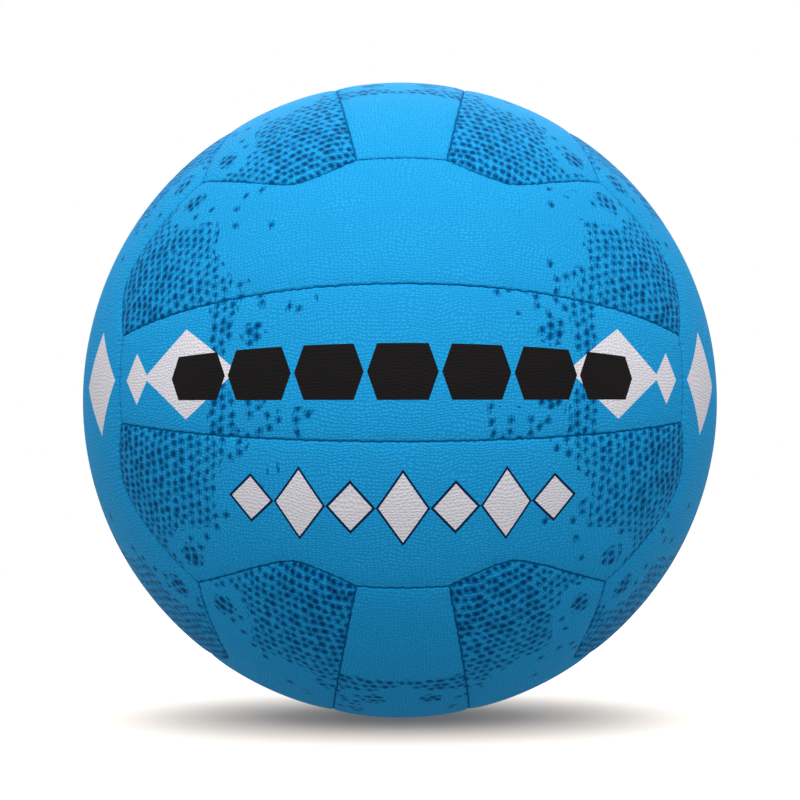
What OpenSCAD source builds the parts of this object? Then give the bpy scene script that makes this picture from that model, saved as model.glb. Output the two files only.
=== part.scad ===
// A stitched netball: six faces of three strips each, over lining cloth, a bladder and its valve.
// The origin is the centre of the ball. +Z is up, the front face looks along -Y, and the valve
// opens along +Y at the middle of the back face.

/* [Ball] */
// Diameter of the ball over its covers, 700 mm round
ball_d = 222.8; // [180:0.2:240]
// Thickness of a cover panel
cover_t = 1.5; // [1.4:0.1:3]
// Thickness of the cloth lining behind each cover
lining_t = 0.9; // [0.4:0.1:2]
// Thickness of the bladder's wall
bladder_t = 0.8; // [0.5:0.1:2]
// Play between the stitches and the bladder
bladder_play = 0.1; // [0.05:0.05:0.3]

/* [Panels] */
// Half the angle that a middle strip spans across, seen from the centre of the ball
strip_half_angle = 12.1; // [10:0.05:15]
// Angle from a face's middle to its long seam, at the straight stretch in the seam's middle
crest_angle = 36.3; // [35:0.1:38.5]
// Angle from a face's middle to its long seam, where the seam dips most
valley_angle = 32.9; // [31:0.1:34.9]
// How far along the long seam the dip lies, as an angle from the seam's middle
valley_place = 17; // [14:0.5:22]
// How bluntly the seam falls from its straight stretch into the dip
fall_power = 1.5; // [1.1:0.1:2]
// How bluntly the seam rises from the dip to the corner of three faces
rise_power = 1.42; // [1.2:0.02:2]

/* [Seams] */
// Gap between two covers, and between two linings, in their seam
seam_gap = 0.2; // [0.1:0.05:0.4]
// Width of the seam's groove at the surface of the ball
groove_w = 2.4; // [1:0.1:4]
// Depth of the seam's groove
groove_depth = 1.1; // [0.4:0.1:1.2]
// Diameter of the stitching thread
thread_d = 0.6; // [0.4:0.1:1]
// Length of one stitch across its seam
stitch_len = 6; // [4:0.5:8]
// Distance from one stitch to the next
stitch_pitch = 7; // [5:0.5:12]
// Distance that stitches keep from a place where seams meet
junction_clear = 7; // [6:0.5:12]

/* [Valve] */
// Diameter of the valve's stem
stem_d = 8.4; // [7:0.1:11]
// Clearance round the stem in the cover and the lining
stem_clearance = 0.3; // [0.1:0.05:0.6]
// Depth of the stem's end below the surface of the ball
stem_recess = 0.6; // [0.2:0.1:1.2]
// Diameter of the valve's body inside the bladder
body_d = 11.6; // [11.2:0.2:16]
// Length of the whole valve, from the stem's end to the body's
valve_len = 21; // [18:0.5:30]
// Diameter of the plug pressed into the stem
plug_d = 6; // [4:0.1:6.6]
// Length of the plug
plug_len = 15.5; // [10:0.5:16]
// Depth of the plug's face below the end of the stem
plug_recess = 1.2; // [0.4:0.1:1.6]
// Diameter of the bore for the inflating needle
needle_d = 1.8; // [1.2:0.1:2.4]
// Length of the straight bore for the needle
needle_len = 12; // [6:0.5:12]
// Diameter of the funnel at the mouth of the needle's bore
funnel_d = 3.6; // [2.6:0.1:3.8]
// Depth of this funnel
funnel_depth = 1; // [0.4:0.1:1.6]
// Diameter of the patch that bonds the valve to the bladder
patch_d = 30; // [20:1:44]
// Thickness of this patch
patch_t = 1.2; // [0.6:0.1:2]
// Thickness of the cement between the patch and the bladder
cement_t = 0.15; // [0.1:0.05:0.3]

/* [Hidden] */
ball_r = ball_d / 2;
cover_r = ball_r - cover_t;
lining_r = cover_r - lining_t;
bladder_r = lining_r - thread_d - bladder_play;
bladder_inner_r = bladder_r - bladder_t;
patch_outer_r = bladder_inner_r - cement_t;
patch_r = patch_outer_r - patch_t;
overrun = 0.5;

// The corner of three faces, as angles in a face's own frame
corner_along = asin(1 / sqrt(3));
corner_across = 45;
// Half the length of the seam's straight stretch, which is where the strips of its neighbour end
crest_half = atan(tan(strip_half_angle) * sin(crest_angle));
// How far along a strip its corner lies
strip_end = asin(cos(crest_half) * cos(crest_angle));

// Straight steps that each half of a long seam is drawn with, down to its dip and up to the corner
fall_steps = 5;
rise_steps = 8;

// Where a cutting wedge starts and ends, as shares of the radius of the ball
wedge_start_share = 0.45;
wedge_end_share = 1.15;

cover_colour = "#1c98d8";
lining_colour = "ivory";
bladder_colour = "#2b2b2e";
valve_colour = "#3a3a3c";
plug_colour = "#55565a";
thread_colour = "white";
round_steps = 180;
small_steps = 32;

// Turns that lay the frame of a face onto the ball. In that frame X runs along the strips, Y across
// them and Z out of the ball.
FRONT = [90, 0, 0];
BACK = [90, 0, 180];
TOP = [0, 0, 90];
BOTTOM = [180, 0, 90];
RIGHT = [180, -90, 0];
LEFT = [0, -90, 0];

// Direction from the centre of the ball: along is the angle toward a strip's end, across is the
// angle turned about the strips' axis
function direction(along, across) =
    [sin(along), cos(along) * sin(across), cos(along) * cos(across)];

// Angle of a face's long seam at a place along it: straight, down into the dip, up to the corner
function seam_across(along) =
    let (away = abs(along))
    away <= crest_half ? crest_angle
    : away <= valley_place
        ? crest_angle - (crest_angle - valley_angle)
            * (1 - pow(1 - (away - crest_half) / (valley_place - crest_half), fall_power))
        : valley_angle + (corner_across - valley_angle)
            * pow((away - valley_place) / (corner_along - valley_place), rise_power);

// Places along half a long seam, from the end of its straight stretch to the corner
function half_seam() = concat(
    [for (i = [0 : fall_steps - 1]) crest_half + (valley_place - crest_half) * i / fall_steps],
    [for (i = [0 : rise_steps]) valley_place + (corner_along - valley_place) * i / rise_steps]
);

function reversed(list) = [for (i = [len(list) - 1 : -1 : 0]) list[i]];

// A long seam in the frame of its own face, and the same seam as the end of the next face's strips
function own_seam(along) = direction(along, seam_across(along));
function end_seam(along) =
    let (p = own_seam(along))
    [p.z, p.x, p.y];
function mirror_x(p) = [-p.x, p.y, p.z];

// Outline of an outer strip, counterclockwise from outside, as directions. The last place of a half
// seam is the corner, where the strip's long seam and its end meet.
function outer_outline() =
    let (
        half = half_seam(),
        last = len(half) - 1,
        end = [for (a = half) end_seam(a)],
        long_right = [for (i = [last - 1 : -1 : 0]) own_seam(half[i])],
        long_left = [for (i = [0 : last - 1]) own_seam(-half[i])]
    )
    concat(end, long_right, long_left, reversed([for (p = end) mirror_x(p)]));

// Outline of a middle strip, which has four straight seams
function middle_outline() =
    let (right = [end_seam(-crest_half), end_seam(crest_half)])
    concat(right, reversed([for (p = right) mirror_x(p)]));

// For each corner of an outline, the step that moves both its edges inward by one
function mitres(outline) =
    let (n = len(outline))
    [for (i = [0 : n - 1])
        let (
            before = cross(outline[(i + n - 1) % n], outline[i]),
            after = cross(outline[i], outline[(i + 1) % n]),
            a = before / norm(before),
            b = after / norm(after)
        )
        (a + b) / (1 + a * b)];

// The outline drawn on a plane across the centre's direction, with its edges set in from the seams
function flat_ring(outline, steps, centre, height, inset) =
    [for (i = [0 : len(outline) - 1])
        let (reach = (height - inset * (steps[i] * centre)) / (outline[i] * centre))
        reach * outline[i] + inset * steps[i]];

// Wedge from near the ball's centre out past its surface, with its walls set in from the seams
module outline_wedge(outline, centre, inset) {
    steps = mitres(outline);
    n = len(outline);
    walls = [for (i = [0 : n - 1])
        let (j = (i + 1) % n)
        [i, i + n, j + n, j]];
    inner_face = [for (i = [0 : n - 1]) i];
    outer_face = [for (i = [n - 1 : -1 : 0]) i + n];
    polyhedron(
        points = concat(
            flat_ring(outline, steps, centre, ball_r * wedge_start_share, inset),
            flat_ring(outline, steps, centre, ball_r * wedge_end_share, inset)
        ),
        faces = concat([inner_face], walls, [outer_face])
    );
}

// Wedge of one strip. side is 1 or -1 for an outer strip across Y, and 0 for the middle one.
module strip_wedge(side, inset) {
    outer_centre = direction(0, (strip_half_angle + crest_angle) / 2);
    if (side == 0) outline_wedge(middle_outline(), [0, 0, 1], inset);
    else if (side > 0) outline_wedge(outer_outline(), outer_centre, inset);
    else mirror([0, 1, 0]) outline_wedge(outer_outline(), outer_centre, inset);
}

// Hollow ball with its poles on Y, clear of every panel in the frame of a face
module shell(outer_r, inner_r) {
    rotate([90, 0, 0]) difference() {
        sphere(r = outer_r, $fn = round_steps);
        sphere(r = inner_r, $fn = round_steps);
    }
}

// Cover of a strip, its edges stepped down on the outside for the groove of the seam
module cover(face, side) {
    color(cover_colour) rotate(face) difference() {
        intersection() {
            shell(ball_r, cover_r);
            strip_wedge(side, seam_gap / 2);
        }
        difference() {
            shell(ball_r + overrun, ball_r - groove_depth);
            strip_wedge(side, groove_w / 2);
        }
    }
}

// Lining of a strip, bonded to the inner face of its cover
module lining(face, side) {
    color(lining_colour) rotate(face) intersection() {
        shell(cover_r, lining_r);
        strip_wedge(side, seam_gap / 2);
    }
}

// One stitch across a seam, laid on the inner face of the lining. turn is the seam's own slant.
module stitch(along, across, turn) {
    rotate([-across, 0, 0]) rotate([0, along, 0]) translate([0, 0, lining_r - thread_d / 2])
        rotate([90, 0, turn]) cylinder(d = thread_d, h = stitch_len, center = true, $fn = small_steps);
}

// Slant of the long seam at a place along it, from two places close by
function seam_turn(along) =
    let (d = corner_along / 1000)
    atan2(cos(along) * (seam_across(along + d) - seam_across(along - d)), 2 * d);

// Evenly spaced places from a to b, about one pitch apart on a circle of the lining's radius
function stitch_places(a, b) =
    let (count = max(1, round((b - a) * PI / 180 * lining_r / stitch_pitch)))
    [for (i = [0 : count]) a + (b - a) * i / count];

junction_angle = junction_clear / lining_r * 180 / PI;

// Stitches along the two seams between the strips of a face
module strip_stitches(face) {
    reach = strip_end - junction_angle;
    color(thread_colour) rotate(face)
        for (side = [-1, 1], along = stitch_places(-reach, reach))
            stitch(along, side * strip_half_angle, 0);
}

// Stitches along the two long seams of a face, in runs that keep clear of the seams that end there
module edge_stitches(face) {
    inner = crest_half - junction_angle / 2;
    outer = crest_half + junction_angle / 2;
    reach = corner_along - junction_angle;
    places = concat(stitch_places(-reach, -outer), stitch_places(-inner, inner),
        stitch_places(outer, reach));
    color(thread_colour) rotate(face)
        for (side = [-1, 1], along = places)
            stitch(along, side * seam_across(along), side * seam_turn(along));
}

// Lays what stands on Z onto the valve's axis
module on_valve_axis() {
    rotate([-90, 0, 0]) children();
}

// Hole for the stem through the cover and the lining
module stem_hole() {
    on_valve_axis() translate([0, 0, bladder_r])
        cylinder(d = stem_d + 2 * stem_clearance, h = ball_r - bladder_r + overrun,
            $fn = small_steps);
}

// Named heights along the valve's axis
stem_end = ball_r - stem_recess;
valve_start = stem_end - valve_len;
body_end = sqrt(pow(patch_r, 2) - pow(body_d / 2, 2));
plug_end = stem_end - plug_recess;
plug_start = plug_end - plug_len;

module bladder() {
    color(bladder_colour) difference() {
        sphere(r = bladder_r, $fn = round_steps);
        sphere(r = bladder_inner_r, $fn = round_steps);
        on_valve_axis() translate([0, 0, patch_r]) cylinder(d = stem_d, h = ball_r - patch_r,
            $fn = small_steps);
    }
}

// Patch bonded to the inner face of the bladder round the stem
module valve_patch() {
    color(valve_colour) difference() {
        intersection() {
            difference() {
                sphere(r = patch_outer_r, $fn = round_steps);
                sphere(r = patch_r, $fn = round_steps);
            }
            on_valve_axis() cylinder(d = patch_d, h = ball_r, $fn = round_steps);
        }
        on_valve_axis() cylinder(d = stem_d, h = ball_r, $fn = small_steps);
    }
}

// Stem and body of the valve, bored for the plug
module valve_housing() {
    color(valve_colour) on_valve_axis() difference() {
        union() {
            translate([0, 0, valve_start]) cylinder(d = body_d, h = body_end - valve_start,
                $fn = small_steps);
            translate([0, 0, valve_start]) cylinder(d = stem_d, h = valve_len, $fn = small_steps);
        }
        translate([0, 0, plug_start]) cylinder(d = plug_d, h = valve_len, $fn = small_steps);
    }
}

// Plug with the straight bore that takes the inflating needle and closes behind it
module valve_plug() {
    color(plug_colour) on_valve_axis() difference() {
        translate([0, 0, plug_start]) cylinder(d = plug_d, h = plug_len, $fn = small_steps);
        translate([0, 0, plug_end - funnel_depth - needle_len])
            cylinder(d = needle_d, h = needle_len + funnel_depth + overrun, $fn = small_steps);
        translate([0, 0, plug_end - funnel_depth])
            cylinder(d1 = needle_d, d2 = funnel_d, h = funnel_depth, $fn = small_steps);
    }
}

module cover_front_upper() cover(FRONT, 1);
module cover_front_middle() cover(FRONT, 0);
module cover_front_lower() cover(FRONT, -1);
module cover_back_upper() cover(BACK, 1);
module cover_back_middle() difference() {
    cover(BACK, 0);
    stem_hole();
}
module cover_back_lower() cover(BACK, -1);
module cover_top_left() cover(TOP, 1);
module cover_top_middle() cover(TOP, 0);
module cover_top_right() cover(TOP, -1);
module cover_bottom_left() cover(BOTTOM, -1);
module cover_bottom_middle() cover(BOTTOM, 0);
module cover_bottom_right() cover(BOTTOM, 1);
module cover_left_front() cover(LEFT, -1);
module cover_left_middle() cover(LEFT, 0);
module cover_left_back() cover(LEFT, 1);
module cover_right_front() cover(RIGHT, 1);
module cover_right_middle() cover(RIGHT, 0);
module cover_right_back() cover(RIGHT, -1);

module lining_front_upper() lining(FRONT, 1);
module lining_front_middle() lining(FRONT, 0);
module lining_front_lower() lining(FRONT, -1);
module lining_back_upper() lining(BACK, 1);
module lining_back_middle() difference() {
    lining(BACK, 0);
    stem_hole();
}
module lining_back_lower() lining(BACK, -1);
module lining_top_left() lining(TOP, 1);
module lining_top_middle() lining(TOP, 0);
module lining_top_right() lining(TOP, -1);
module lining_bottom_left() lining(BOTTOM, -1);
module lining_bottom_middle() lining(BOTTOM, 0);
module lining_bottom_right() lining(BOTTOM, 1);
module lining_left_front() lining(LEFT, -1);
module lining_left_middle() lining(LEFT, 0);
module lining_left_back() lining(LEFT, 1);
module lining_right_front() lining(RIGHT, 1);
module lining_right_middle() lining(RIGHT, 0);
module lining_right_back() lining(RIGHT, -1);

module stitches_front_strips() strip_stitches(FRONT);
module stitches_back_strips() strip_stitches(BACK);
module stitches_top_strips() strip_stitches(TOP);
module stitches_bottom_strips() strip_stitches(BOTTOM);
module stitches_left_strips() strip_stitches(LEFT);
module stitches_right_strips() strip_stitches(RIGHT);
module stitches_front_edges() edge_stitches(FRONT);
module stitches_back_edges() edge_stitches(BACK);
module stitches_top_edges() edge_stitches(TOP);
module stitches_bottom_edges() edge_stitches(BOTTOM);
module stitches_left_edges() edge_stitches(LEFT);
module stitches_right_edges() edge_stitches(RIGHT);

cover_front_upper();
cover_front_middle();
cover_front_lower();
cover_back_upper();
cover_back_middle();
cover_back_lower();
cover_top_left();
cover_top_middle();
cover_top_right();
cover_bottom_left();
cover_bottom_middle();
cover_bottom_right();
cover_left_front();
cover_left_middle();
cover_left_back();
cover_right_front();
cover_right_middle();
cover_right_back();
lining_front_upper();
lining_front_middle();
lining_front_lower();
lining_back_upper();
lining_back_middle();
lining_back_lower();
lining_top_left();
lining_top_middle();
lining_top_right();
lining_bottom_left();
lining_bottom_middle();
lining_bottom_right();
lining_left_front();
lining_left_middle();
lining_left_back();
lining_right_front();
lining_right_middle();
lining_right_back();
stitches_front_strips();
stitches_back_strips();
stitches_top_strips();
stitches_bottom_strips();
stitches_left_strips();
stitches_right_strips();
stitches_front_edges();
stitches_back_edges();
stitches_top_edges();
stitches_bottom_edges();
stitches_left_edges();
stitches_right_edges();
bladder();
valve_patch();
valve_housing();
valve_plug();
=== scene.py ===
import bpy
import numpy as np
from mathutils import Matrix, Vector


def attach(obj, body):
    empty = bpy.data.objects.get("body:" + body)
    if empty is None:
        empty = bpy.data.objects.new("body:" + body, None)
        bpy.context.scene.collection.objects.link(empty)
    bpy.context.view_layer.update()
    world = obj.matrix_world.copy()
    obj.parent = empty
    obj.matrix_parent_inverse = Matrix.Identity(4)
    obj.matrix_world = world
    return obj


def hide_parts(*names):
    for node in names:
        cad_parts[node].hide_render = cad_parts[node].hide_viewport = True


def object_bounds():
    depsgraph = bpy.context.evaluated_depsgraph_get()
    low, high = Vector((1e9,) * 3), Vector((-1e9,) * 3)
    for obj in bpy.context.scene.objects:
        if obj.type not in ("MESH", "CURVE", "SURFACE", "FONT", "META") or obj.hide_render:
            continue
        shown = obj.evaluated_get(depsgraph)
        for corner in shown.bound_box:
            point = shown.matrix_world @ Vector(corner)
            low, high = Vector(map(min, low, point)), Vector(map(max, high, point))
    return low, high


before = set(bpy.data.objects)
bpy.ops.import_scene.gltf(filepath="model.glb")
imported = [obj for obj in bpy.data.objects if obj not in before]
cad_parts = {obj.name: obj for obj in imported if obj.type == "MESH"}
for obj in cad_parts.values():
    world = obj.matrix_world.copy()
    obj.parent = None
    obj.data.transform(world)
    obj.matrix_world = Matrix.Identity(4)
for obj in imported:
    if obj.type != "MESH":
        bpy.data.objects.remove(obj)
cad_low, cad_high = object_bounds()

# Floor, backdrop, lamps and camera
# The ball rests on a white sheet between three wide soft lamps. It is seen with a long lens from a
# little under its middle, as on a low table top.
ball_r = (cad_high.z - cad_low.z) / 2
mm = 0.001
scene = bpy.context.scene
scene.view_settings.view_transform = "Standard"

camera_radii = 5.227
camera_azimuth = np.radians(-0.45)
camera_elevation = np.radians(-5.82)
camera_roll = np.radians(-0.13)
ball_share_of_half_frame = 317.5 / 400


def look_from(distance, azimuth, elevation):
    """Point at a distance from the ball's centre: azimuth turns from -Y toward +X, elevation lifts."""
    flat = distance * np.cos(elevation)
    return Vector((flat * np.sin(azimuth), -flat * np.cos(azimuth), distance * np.sin(elevation)))


camera_data = bpy.data.cameras.new("camera")
camera = bpy.data.objects.new("camera", camera_data)
scene.collection.objects.link(camera)
scene.camera = camera
camera.location = look_from(camera_radii * ball_r, camera_azimuth, camera_elevation)
aim = (-camera.location).to_track_quat("-Z", "Y")
camera.rotation_euler = (aim.to_matrix() @ Matrix.Rotation(camera_roll, 3, "Z")).to_euler()
outline_tangent = 1 / np.sqrt(camera_radii ** 2 - 1)
camera_data.sensor_width = 36
camera_data.lens = camera_data.sensor_width / 2 * ball_share_of_half_frame / outline_tangent
camera_data.clip_start = 0.01
camera_data.clip_end = 50

floor_half = 12.0
floor_level = -ball_r - 0.1 * mm
corner_signs = ((-1, -1), (1, -1), (1, 1), (-1, 1))
floor_corners = [(x * floor_half, y * floor_half, floor_level) for x, y in corner_signs]
floor_mesh = bpy.data.meshes.new("floor")
floor_mesh.from_pydata(floor_corners, [], [(0, 1, 2, 3)])
floor = bpy.data.objects.new("floor", floor_mesh)
scene.collection.objects.link(floor)


def node_of(tree, kind, values=None, **settings):
    """Adds one shader node, with its settings and the fixed values of its inputs."""
    made = tree.nodes.new(kind)
    for key, value in settings.items():
        setattr(made, key, value)
    for key, value in (values or {}).items():
        made.inputs[key].default_value = value
    return made


def new_material(name):
    """An empty node material with its output node."""
    made = bpy.data.materials.new(name)
    made.use_nodes = True
    made.node_tree.nodes.clear()
    return made, made.node_tree, made.node_tree.nodes.new("ShaderNodeOutputMaterial")


def seen_rays(tree):
    """1 for rays from the camera, from mirrors and through glass, and 0 for rays that light things."""
    path = node_of(tree, "ShaderNodeLightPath")
    seen = node_of(tree, "ShaderNodeMath", operation="MAXIMUM")
    tree.links.new(path.outputs["Is Camera Ray"], seen.inputs[0])
    tree.links.new(path.outputs["Is Glossy Ray"], seen.inputs[1])
    seen_too = node_of(tree, "ShaderNodeMath", operation="MAXIMUM")
    tree.links.new(seen.outputs[0], seen_too.inputs[0])
    tree.links.new(path.outputs["Is Transmission Ray"], seen_too.inputs[1])
    return seen_too.outputs[0]


# To the camera the sheet is white, and to the ball it is grey, so that it throws little light up. To the
# camera the glow is a painted shadow: weak and warm in the shadow under the ball, where the ball's blue
# falls on the sheet, so that it darkens the real shadow and cancels that blue, and it takes over further
# out, up to the horizon. To the ball the sheet glows evenly, a painted fill light on the ball's underside.
# Seen from below the sheet is clear.
floor_material, tree, out = new_material("white sheet")
seen = seen_rays(tree)
sheet = node_of(tree, "ShaderNodeBsdfDiffuse")
# Painted tint: to the camera the sheet is a warm grey, so that the ball's blue light on it reads neutral.
shade = node_of(tree, "ShaderNodeMix", data_type="RGBA")
shade.inputs[6].default_value = (0.06, 0.06, 0.06, 1)
shade.inputs[7].default_value = (0.465, 0.405, 0.345, 1)
tree.links.new(seen, shade.inputs[0])
tree.links.new(shade.outputs[2], sheet.inputs["Color"])
place = node_of(tree, "ShaderNodeTexCoord")
flat = node_of(tree, "ShaderNodeVectorMath", {1: (1, 1, 0)}, operation="MULTIPLY")
tree.links.new(place.outputs["Object"], flat.inputs[0])
away = node_of(tree, "ShaderNodeVectorMath", operation="LENGTH")
tree.links.new(flat.outputs[0], away.inputs[0])
# Painted shadow: the glow the camera sees rises with distance from under the ball, darkening and
# tightening the real shadow, and is warm near the ball.
ramp = node_of(tree, "ShaderNodeValToRGB")
tree.links.new(away.outputs["Value"], ramp.inputs["Fac"])
ramp.color_ramp.elements[0].color = (0.11, 0.085, 0.065, 1)
ramp.color_ramp.elements[1].position = 0.36
painted_shadow_stops = {
    0.02: (0.13, 0.10, 0.08, 1), 0.04: (0.20, 0.165, 0.14, 1), 0.075: (0.425, 0.405, 0.39, 1),
    0.10: (0.66, 0.655, 0.65, 1), 0.14: (0.85, 0.85, 0.85, 1),
}
for metres, colour in painted_shadow_stops.items():
    ramp.color_ramp.elements.new(metres).color = colour
# To the rays that light the ball the sheet glows evenly, a painted fill light on the ball's underside.
painted_shadow_and_fill_glow = node_of(tree, "ShaderNodeMix", data_type="RGBA")
painted_shadow_and_fill_glow.inputs[6].default_value = (0.39, 0.39, 0.39, 1)
tree.links.new(seen, painted_shadow_and_fill_glow.inputs[0])
tree.links.new(ramp.outputs["Color"], painted_shadow_and_fill_glow.inputs[7])
glow = node_of(tree, "ShaderNodeEmission")
tree.links.new(painted_shadow_and_fill_glow.outputs[2], glow.inputs["Color"])
both = node_of(tree, "ShaderNodeAddShader")
tree.links.new(sheet.outputs[0], both.inputs[0])
tree.links.new(glow.outputs[0], both.inputs[1])
below = node_of(tree, "ShaderNodeNewGeometry")
clear = node_of(tree, "ShaderNodeBsdfTransparent")
one_way = node_of(tree, "ShaderNodeMixShader")
tree.links.new(below.outputs["Backfacing"], one_way.inputs["Fac"])
tree.links.new(both.outputs[0], one_way.inputs[1])
tree.links.new(clear.outputs[0], one_way.inputs[2])
tree.links.new(one_way.outputs[0], out.inputs["Surface"])
floor_mesh.materials.append(floor_material)

world = bpy.data.worlds.new("studio")
scene.world = world
world.use_nodes = True
tree = world.node_tree
tree.nodes.clear()
out = node_of(tree, "ShaderNodeOutputWorld")
fill = node_of(tree, "ShaderNodeBackground", {"Color": (1, 1, 1, 1), "Strength": 0.5})
backdrop = node_of(tree, "ShaderNodeBackground", {"Color": (1, 1, 1, 1), "Strength": 1.0})
choice = node_of(tree, "ShaderNodeMixShader")
tree.links.new(seen_rays(tree), choice.inputs["Fac"])
tree.links.new(fill.outputs[0], choice.inputs[1])
tree.links.new(backdrop.outputs[0], choice.inputs[2])
tree.links.new(choice.outputs[0], out.inputs["Surface"])


def soft_lamp(name, place, size, watts):
    """A square lamp that faces the ball from a place."""
    data = bpy.data.lights.new(name, "AREA")
    data.shape = "SQUARE"
    data.size = size
    data.energy = watts
    lamp = bpy.data.objects.new(name, data)
    scene.collection.objects.link(lamp)
    lamp.location = place
    lamp.rotation_euler = (-Vector(place)).to_track_quat("-Z", "Y").to_euler()
    return lamp


soft_lamp("overhead softbox", (0, -0.1, 1.3), 2.0, 6.2)
soft_lamp("front softbox", (0, -0.97, 0.93), 1.2, 16.8)
soft_lamp("rear softbox", (0, 1.1, 0.95), 1.2, 8.6)

# Outer covers
# Each of the 18 covers is a strip of textured rubber bonded to cloth. The strips are stitched inside
# out edge to edge, so each edge rolls down into a narrow crease, drawn tight at every stitch.
cover_t = 1.5 * mm
strip_half_angle = 12.1
crest_angle = 36.3
valley_angle = 32.9
valley_place = 17.0
fall_power = 1.5
rise_power = 1.42
corner_along = np.degrees(np.arcsin(1 / np.sqrt(3)))
corner_across = 45.0
crest_half = np.degrees(np.arctan(np.tan(np.radians(strip_half_angle)) * np.sin(np.radians(crest_angle))))
strip_end = np.degrees(np.arcsin(np.cos(np.radians(crest_half)) * np.cos(np.radians(crest_angle))))


def direction(along, across):
    """Unit direction: along is the angle toward X, across the angle turned about X from Z toward Y."""
    a = np.radians(along)
    c = np.radians(across)
    return np.stack([np.sin(a), np.cos(a) * np.sin(c), np.cos(a) * np.cos(c)], axis=-1)


def angles_of(points):
    """The along and across angles of directions, which undoes direction()."""
    return np.degrees(np.arcsin(points[..., 0])), np.degrees(np.arctan2(points[..., 1], points[..., 2]))


def seam_across(along):
    """Across angle of a face's long seam: level at its middle, down to a dip, then up to the corner."""
    away = np.abs(along)
    fall = np.clip((away - crest_half) / (valley_place - crest_half), 0, 1)
    rise = np.clip((away - valley_place) / (corner_along - valley_place), 0, 1)
    down = crest_angle - (crest_angle - valley_angle) * (1 - (1 - fall) ** fall_power)
    up = valley_angle + (corner_across - valley_angle) * rise ** rise_power
    return np.where(away <= valley_place, down, up)


def own_seam(along):
    """The long seam of a face in that face's own frame."""
    return direction(along, seam_across(along))


def end_seam(along):
    """The long seam of the next face, which ends this face's strips: own_seam with its axes passed on."""
    return own_seam(along)[..., [2, 0, 1]]


def mirror_x(points):
    """Points with X turned round."""
    return points * np.array([-1, 1, 1])


def unit(vectors):
    """Vectors scaled to length one."""
    return vectors / np.linalg.norm(vectors, axis=-1, keepdims=True)


def at_shares(curve, shares):
    """Places along a dense curve of directions at shares of its length."""
    steps = np.linalg.norm(np.diff(curve, axis=0), axis=1)
    reach = np.concatenate([[0], np.cumsum(steps)])
    reach /= reach[-1]
    return unit(np.stack([np.interp(shares, reach, curve[:, k]) for k in range(3)], axis=-1))


def edge_shares(middle_steps, edge_steps, edge_share):
    """Shares from 0 to 1 that lie close together near both ends, where an edge rolls down."""
    near = edge_share * (np.arange(edge_steps) / edge_steps) ** 1.4
    middle = np.linspace(edge_share, 1 - edge_share, middle_steps + 1)
    return np.concatenate([near, middle, 1 - near[::-1]])


def patch(bottom, top, left, right, along_shares, across_shares):
    """Grid of directions between four border curves: the blend across plus the blend along, less the
    blend of the corners, brought to the sphere."""
    low_edge = at_shares(bottom, along_shares)[:, None]
    high_edge = at_shares(top, along_shares)[:, None]
    left_edge = at_shares(left, across_shares)[None]
    right_edge = at_shares(right, across_shares)[None]
    s = along_shares[:, None, None]
    q = across_shares[None, :, None]
    low_corners = (1 - s) * (1 - q) * low_edge[0, 0] + s * (1 - q) * low_edge[-1, 0]
    high_corners = (1 - s) * q * high_edge[0, 0] + s * q * high_edge[-1, 0]
    between = (1 - q) * low_edge + q * high_edge + (1 - s) * left_edge + s * right_edge
    return unit(between - low_corners - high_corners)


dense = 900
own_places = np.linspace(-corner_along, corner_along, dense)
end_places = np.linspace(crest_half, corner_along, dense)
strip_places = np.linspace(-strip_end, strip_end, dense)
crest_places = np.linspace(-crest_half, crest_half, dense // 3)

# Each border curve comes with the length along its seam, counted from the seam's middle, and with a
# side: of the two covers that share a seam, one has side 1 and the other -1. So both can follow one
# crease that wanders across the seam.
outer_borders = [
    (direction(strip_places, strip_half_angle), strip_places, -1),
    (own_seam(own_places), own_places, 1),
    (mirror_x(end_seam(end_places)), end_places, -1),
    (end_seam(end_places), end_places, -1),
]
middle_borders = [
    (direction(strip_places, -strip_half_angle), strip_places, 1),
    (direction(strip_places, strip_half_angle), strip_places, 1),
    (mirror_x(end_seam(crest_places)), crest_places, -1),
    (end_seam(crest_places), crest_places, -1),
]
steps_along = edge_shares(300, 8, 0.02)
outer_steps_across = edge_shares(44, 8, 0.06)
middle_steps_across = edge_shares(44, 8, 0.07)
outer_grid = patch(*(b[0] for b in outer_borders), steps_along, outer_steps_across)
middle_grid = patch(*(b[0] for b in middle_borders), steps_along, middle_steps_across)


def nearest_border(points, borders):
    """Distance in metres from directions to their nearest border, the length along that seam, the
    border's own direction there, and the side."""
    border = np.concatenate([b[0] for b in borders])
    length = np.concatenate([np.radians(b[1]) * ball_r for b in borders])
    sides = np.concatenate([np.full(len(b[1]), b[2]) for b in borders])
    flat = points.reshape(-1, 3)
    lot = 2000
    best = np.concatenate([(flat[k:k + lot] @ border.T).argmax(axis=1) for k in range(0, len(flat), lot)])
    angle = 2 * np.arcsin(np.clip(np.linalg.norm(flat - border[best], axis=1) / 2, 0, 1))
    shape = points.shape[:-1]
    return ((angle * ball_r).reshape(shape), length[best].reshape(shape),
            border[best].reshape(points.shape), sides[best].reshape(shape))


pillow_drop = 0.45 * mm
pillow_reach = 3.5 * mm
crease_depth = 0.62 * mm
crease_reach = 0.7 * mm
crease_wander = 0.09 * mm
stitch_pitch = 2.6 * mm
dimple_depth = 0.22 * mm
dimple_place = 1.4 * mm
dimple_width = 0.6 * mm
wrinkle_depth = 0.14 * mm
wrinkle_reach = 3.2 * mm


def waves_of(places, rates):
    """A sine wave over places on the ball, from -1 to 1, with its rates along X, Y and Z."""
    return np.sin(places @ np.array(rates))


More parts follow.
